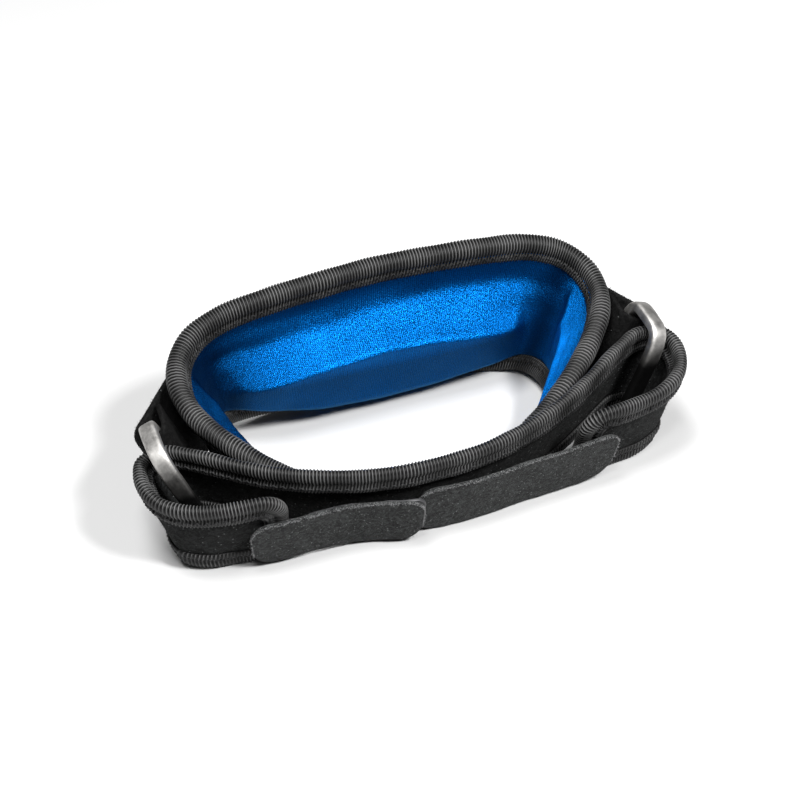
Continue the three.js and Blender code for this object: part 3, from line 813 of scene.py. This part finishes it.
left_half = STRAP_ROWS[1:][::-1] * np.array([-1, 1, 1, -1, 1])
strap = strap_band(np.vstack([left_half, STRAP_ROWS]))
strap_top = STRAP_WIDTH - STRAP_EDGE
charcoal_felt = felt_finish("charcoal_loop_felt", (0.002, 0.002, 0.002), (0.038, 0.04, 0.04), 0.25)
# The strap's felt: a darker copy of the tabs' felt, as painted shade.
painted_shade_felt = felt_finish("dark_loop_felt", (0.001, 0.001, 0.001), (0.02, 0.021, 0.021), 0.15, 0.01)
strap_cut = cut_cloth(0, strap.length, STRAP_EDGE, strap_top, STRAP_CORNER, 300, 30)
strap_piece = make_piece(
    "strap_felt", cloth_slab(strap, strap_cut, STRAP_THICK, 1.2, bump=0.1, seed=51),
    painted_shade_felt, "loop_felt", "strap",
)
strap_fluff = make_piece(
    "strap_fluff",
    nap_fibres(strap, 8, strap.length - 8, 8.4, STRAP_WIDTH - 8.4, 1.1, 5000, 0.7, 0.035, 53),
    painted_shade_felt, "loop_felt",
)

# Strap tape
# The same ribbed tape in a flatter fold round the strap's whole edge, sewn with a zigzag. Its outer
# flange flares, so its ribs show as a second row beside the roll. Columns as for the panel's tape.
STRAP_TAPE = [
    (-6.4, 1.5), (-6.1, 2.05), (-5.2, 2.5), (-4.2, 2.15), (-3.4, 1.35), (-2.7, 1.2), (-1.8, 1.55),
    (-0.7, 1.85), (0.5, 1.6), (1.3, 1.0), (1.6, 0), (1.3, -1.0), (0.5, -1.6), (-0.7, -1.85),
    (-1.8, -1.6), (-2.7, -1.25), (-3.4, -1.3), (-4.2, -1.9), (-5.2, -2.05), (-6.1, -1.7),
    (-6.4, -1.35),
]
STRAP_SLOT = [(-6.3, -1.12), (0.2, -1.12), (0.2, 1.12), (-6.3, 1.12)]
STRAP_ZIGZAG = [(-5.0, -3.8, 2.2), (-5.0, -3.2, -1.9)]


def strap_high(d):
    """The height of the strap's upper edge, the same all along it."""
    return np.full(np.shape(d), strap_top)


strap_edge = bound_edge(strap, STRAP_EDGE, strap_high, STRAP_CORNER, RIB_PITCH, RIB_STEPS)
strap_tape = make_piece(
    "strap_tape", folded_tape(strap, strap_edge, STRAP_TAPE, STRAP_SLOT, RIB_RELIEF),
    black_tape, "ribbed_tape", "strap_binding",
)
strap_stitching = make_piece(
    "strap_stitching",
    [part for row in STRAP_ZIGZAG for part in zigzag(strap, strap_edge, *row, ZIGZAG_PITCH, THREAD)],
    grey_thread, "ribbed_tape",
)

# Closing tabs
# Two felt tabs sewn to the strap's ends. They lie over the strap's front, the left one's end lapping
# the right one's, and their cut edges are whipped with pale, fluffy thread.
FELT_THICK = 1.4
FELT_CORNER = 7.0
# Columns as for the strap
LEFT_TAB_ROWS = np.array([
    [-62, -35, -0.8, -0.11, -0.24],
    [-50, -35.4, -1, -0.07, -0.24],
    [-40, -35.3, -1, -0.05, -0.24],
    [-30, -35.7, -1, -0.03, -0.24],
    [-20, -37.7, -1, -0.02, -0.24],
    [-13, -40, -1, 0, -0.24],
    [-6.5, -41, -1, 0, -0.24],
    [-4, -41.1, -1, 0, -0.24],
])
RIGHT_TAB_ROWS = np.array([
    [-8, -37.5, -1.6, 0, -0.24],
    [0, -38.1, -2, 0, -0.24],
    [10, -38.4, -2.2, 0.02, -0.24],
    [20, -37.8, -2.2, 0.04, -0.24],
    [30, -36.9, -2, 0.05, -0.24],
    [40, -36.4, -2, 0.06, -0.24],
    [50, -36, -1.4, 0.08, -0.24],
    [62, -35.2, -0.8, 0.11, -0.24],
])
left_tab, right_tab = strap_band(LEFT_TAB_ROWS), strap_band(RIGHT_TAB_ROWS)
LEFT_END = left_tab.length - 2.5


def rim_points(d0, d1, low, high, radius, count, seed):
    """Random places round a rounded rectangle's rim, four quarter circles joined by straight lines.
    Columns: distance, height, and the outward direction's shares along and across."""
    rng = np.random.default_rng(seed)
    phi = np.linspace(0, np.pi / 2, 20)
    outs, spots = [], []
    corners = [(d1 - radius, high - radius), (d0 + radius, high - radius),
               (d0 + radius, low + radius), (d1 - radius, low + radius)]
    for k, corner in enumerate(corners):
        way = np.stack([np.cos(phi + k * np.pi / 2), np.sin(phi + k * np.pi / 2)], -1)
        outs.append(way)
        spots.append(np.array(corner) + radius * way)
    outs, spots = np.vstack([*outs, outs[0][:1]]), np.vstack([*spots, spots[0][:1]])
    run = np.append(0, np.cumsum(np.linalg.norm(np.diff(spots, axis=0), axis=1)))
    s = rng.uniform(0, run[-1], count)
    return [np.interp(s, run, column) for column in (*spots.T, *outs.T)]


def rim_fluff(band, d0, d1, low, high, count, length, radius, seed):
    """Whipped edge: fibres round a tab's rim that lean outwards and over its front."""
    d, h, along, across = rim_points(d0, d1, low, high, FELT_CORNER, count, seed)
    seen = across > -0.2
    d, h, along, across = d[seen], h[seen], along[seen], across[seen]
    rng = np.random.default_rng(seed + 5)
    d, h = d - 0.3 * along, h - 0.3 * across
    roots = band.at(d, h, rng.uniform(0.0, FELT_THICK / 2, len(d)))
    along_way = unit(band.mid(d + 0.4, h) - band.mid(d - 0.4, h))
    rise = unit(band.mid(d, h + 1) - band.mid(d, h))
    out = along_way * along[:, None] + rise * across[:, None] + band.normal(d, h) * 0.7
    return fibres(roots, unit(out), length, radius, seed + 1)


# Columns: side, way, length, lower and upper edge
TABS = [
    ("left", left_tab, LEFT_END, 3.0, 24.5),
    ("right", right_tab, right_tab.length, 2.9, 25.8),
]
for word, band, end, low, high in TABS:
    cut = cut_cloth(0, end, low, high, FELT_CORNER, 120, 50)
    tab = make_piece(
        f"{word}_tab_felt", cloth_slab(band, cut, FELT_THICK, 0.7, bump=0.12, seed=61),
        charcoal_felt, "loop_felt", f"{word}_tab",
    )
    fluff = make_piece(
        f"{word}_tab_fluff",
        nap_fibres(band, 1.5, end - 1.5, low + 1, high - 1, 0.7, 3500, 0.6, 0.035, 63),
        charcoal_felt, "loop_felt",
    )
    whipping = make_piece(
        f"{word}_tab_whipping", rim_fluff(band, 0, end, low, high, 2200, 1.0, 0.045, 67),
        lint_thread, "loop_felt",
    )

# Hook patches
# Black hook tape sewn to the underside of each tab: a woven ground with rows of small bent hooks that
# catch the strap's felt.
PATCH_LOW = 9.2
PATCH_HIGH = 23.0
PATCH_CORNER = 5.0
SHEET_GAP = 0.3
HOOK_THICK = 1.2
HOOK_LIFT = -(FELT_THICK / 2 + SHEET_GAP + HOOK_THICK / 2)
HOOK_PITCH, HOOK_ROW = 1.3, 1.1
# Columns: side, way, start and end along it
PATCHES = [("left", left_tab, 17, 38), ("right", right_tab, 5, 40)]
hook_black = felt_finish("black_hook_tape", (0.006, 0.006, 0.007), (0.03, 0.03, 0.032), 0.0)


def hook_field(band, d0, d1):
    """Rows of stiff bent stubs standing from the patch's lower face."""
    columns = np.arange(d0 + 2, d1 - 2, HOOK_PITCH)
    rows = np.arange(PATCH_LOW + 1.5, PATCH_HIGH - 1, HOOK_ROW)
    d, h = (grid.ravel() for grid in np.meshgrid(columns, rows))
    out = -band.normal(d, h)
    root = band.at(d, h, HOOK_LIFT)
    lean = unit(band.mid(d + 0.4, h) - band.mid(d - 0.4, h))
    line = np.stack([root, root + out * 0.3, root + out * 0.75, root + out * 0.8 + lean * 0.35], 1)
    rise = np.cross(out, lean)
    turn = np.arange(5) * 2 * np.pi / 5
    round_ = lean[:, None] * np.cos(turn)[:, None] + rise[:, None] * np.sin(turn)[:, None]
    taper = np.array([0, 0.14, 0.12, 0])
    return many(line[:, :, None] + round_[:, None] * taper[:, None, None])


for word, band, d0, d1 in PATCHES:
    cut = cut_cloth(d0, d1, PATCH_LOW, PATCH_HIGH, PATCH_CORNER, 60, 36)
    patch = make_piece(
        f"{word}_hook_tape",
        cloth_slab(band, cut, HOOK_THICK - 0.4, 0.4, lift=HOOK_LIFT + 0.2),
        hook_black, "hook_tape", f"{word}_hook_patch",
    )
    hooks = make_piece(f"{word}_hooks", hook_field(band, d0, d1), hook_black, "hook_tape")

# Pull tab
# A moulded rubber grip, ribbed lengthwise on both faces inside a plain rim. It is fixed under the end
# of the left tab and stands out a little past it.
GRIP_LOW = 5.0
GRIP_HIGH = 22.5
GRIP_START, GRIP_PAST = 41.0, 0.8
GRIP_CORNER = 4.0
GRIP_THICK = 1.1
GRIP_LIFT = -(FELT_THICK / 2 + SHEET_GAP + GRIP_THICK / 2)
GRIP_RIB = 0.8


def grip_skins():
    """A slab whose faces carry a cosine of ridges across its width, faded out towards the rim."""
    end = LEFT_END + GRIP_PAST
    d, h, inward = cut_cloth(GRIP_START, end, GRIP_LOW, GRIP_HIGH, GRIP_CORNER, 40, 150)
    swell = np.sqrt(1 - (1 - np.clip(inward / 0.4, 0, 1)) ** 2)
    ribs = (np.cos(2 * np.pi * h / GRIP_RIB) - 1) * 0.1 * np.clip((inward - 0.7) / 0.5, 0, 1)
    half = swell * GRIP_THICK / 2 + ribs
    front, back = left_tab.at(d, h, GRIP_LIFT + half), left_tab.at(d, h, GRIP_LIFT - half)
    crown = 1 + ribs / 0.2
    over = skin(back[:, ::-1], d[:, ::-1], h[:, ::-1], relief=crown[:, ::-1])
    return [skin(front, d, h, relief=crown), over]


def rubber_finish():
    """Satin rubber, a little paler and smoother on the crowns of its ribs."""
    mat = new_finish("ribbed_rubber", specular_ior_level=0.45)
    place = node(mat, "TexCoord", {})["Object"]
    crown = node(mat, "Attribute", {}, attribute_name="relief")["Fac"]
    grain = node(mat, "TexNoise", {"Vector": place, "Scale": 2500.0, "Detail": 2.0})[0]
    wire(mat, base_color=blend_colours(mat, crown, (0.01, 0.01, 0.011), (0.03, 0.03, 0.032)))
    wire(mat, roughness=calc(mat, "ADD", calc(mat, "MULTIPLY", grain, 0.2), 0.42))
    wire(mat, normal=node(mat, "Bump", {"Strength": 0.3, "Distance": 0.04 * MM, "Height": grain})[0])
    return mat


make_piece("pull_tab_grip", grip_skins(), rubber_finish(), "grip_rubber", "pull_tab")

# Floor, lights and camera
# A pale floor, one broad soft light high on the left, two small ones in front and a white sky; the
# camera looks down on the wrap from its front left.
LOOK = np.array([-1.2, -1.4, 28.2])
AZIMUTH, ELEVATION, ROLL = np.radians([-19.4, 42.7, 0.7])
CAMERA_AWAY = 650.0
LENS = 93.1
FLOOR_HALF = 6.0
FLOOR_DROP = 0.0002

floor_mesh = bpy.data.meshes.new("floor")
floor_corners = FLOOR_HALF * np.array([[-1, -1, 0], [1, -1, 0], [1, 1, 0], [-1, 1, 0]])
floor_mesh.from_pydata(floor_corners.tolist(), [], [(0, 1, 2, 3)])
floor = bpy.data.objects.new("floor", floor_mesh)
floor.location.z = -FLOOR_DROP
bpy.context.scene.collection.objects.link(floor)
floor_mesh.materials.append(new_finish("pale_floor", base_color=(0.45, 0.45, 0.45, 1), roughness=0.8))


def aim(thing, place, target):
    """Puts a light or camera at a place and points it at a target, upright."""
    thing.location = Vector(place)
    thing.rotation_mode = "QUATERNION"
    thing.rotation_quaternion = (Vector(target) - Vector(place)).to_track_quat("-Z", "Y")
    bpy.context.scene.collection.objects.link(thing)


# Columns: name, place, size, power in watts
LIGHTS = [
    ("key_light", (-0.26, -0.02, 1.16), 0.45, 20.0),
    ("left_glint", (-0.18, -0.42, 1.0), 0.16, 3.5),
    ("front_glint", (0.32, -0.5, 0.84), 0.18, 17.0),
]
for name, place, size, power in LIGHTS:
    lamp = bpy.data.lights.new(name, "AREA")
    lamp.size = size
    lamp.energy = power
    aim(bpy.data.objects.new(name, lamp), place, (0, 0, 0.03))

world = bpy.data.worlds.new("white_sky")
bpy.context.scene.world = world
world.use_nodes = True
world.node_tree.nodes["Background"].inputs["Color"].default_value = (1, 1, 1, 1)
world.node_tree.nodes["Background"].inputs["Strength"].default_value = 0.06
bpy.context.scene.view_settings.view_transform = "Standard"

lens = bpy.data.cameras.new("camera")
lens.lens = LENS
lens.sensor_width = 36.0
camera = bpy.data.objects.new("camera", lens)
flat = np.cos(ELEVATION)
back = np.array([np.sin(AZIMUTH) * flat, -np.cos(AZIMUTH) * flat, np.sin(ELEVATION)])
aim(camera, (LOOK + back * CAMERA_AWAY) * MM, LOOK * MM)
camera.rotation_quaternion @= Quaternion((0, 0, 1), -ROLL)
bpy.context.scene.camera = camera
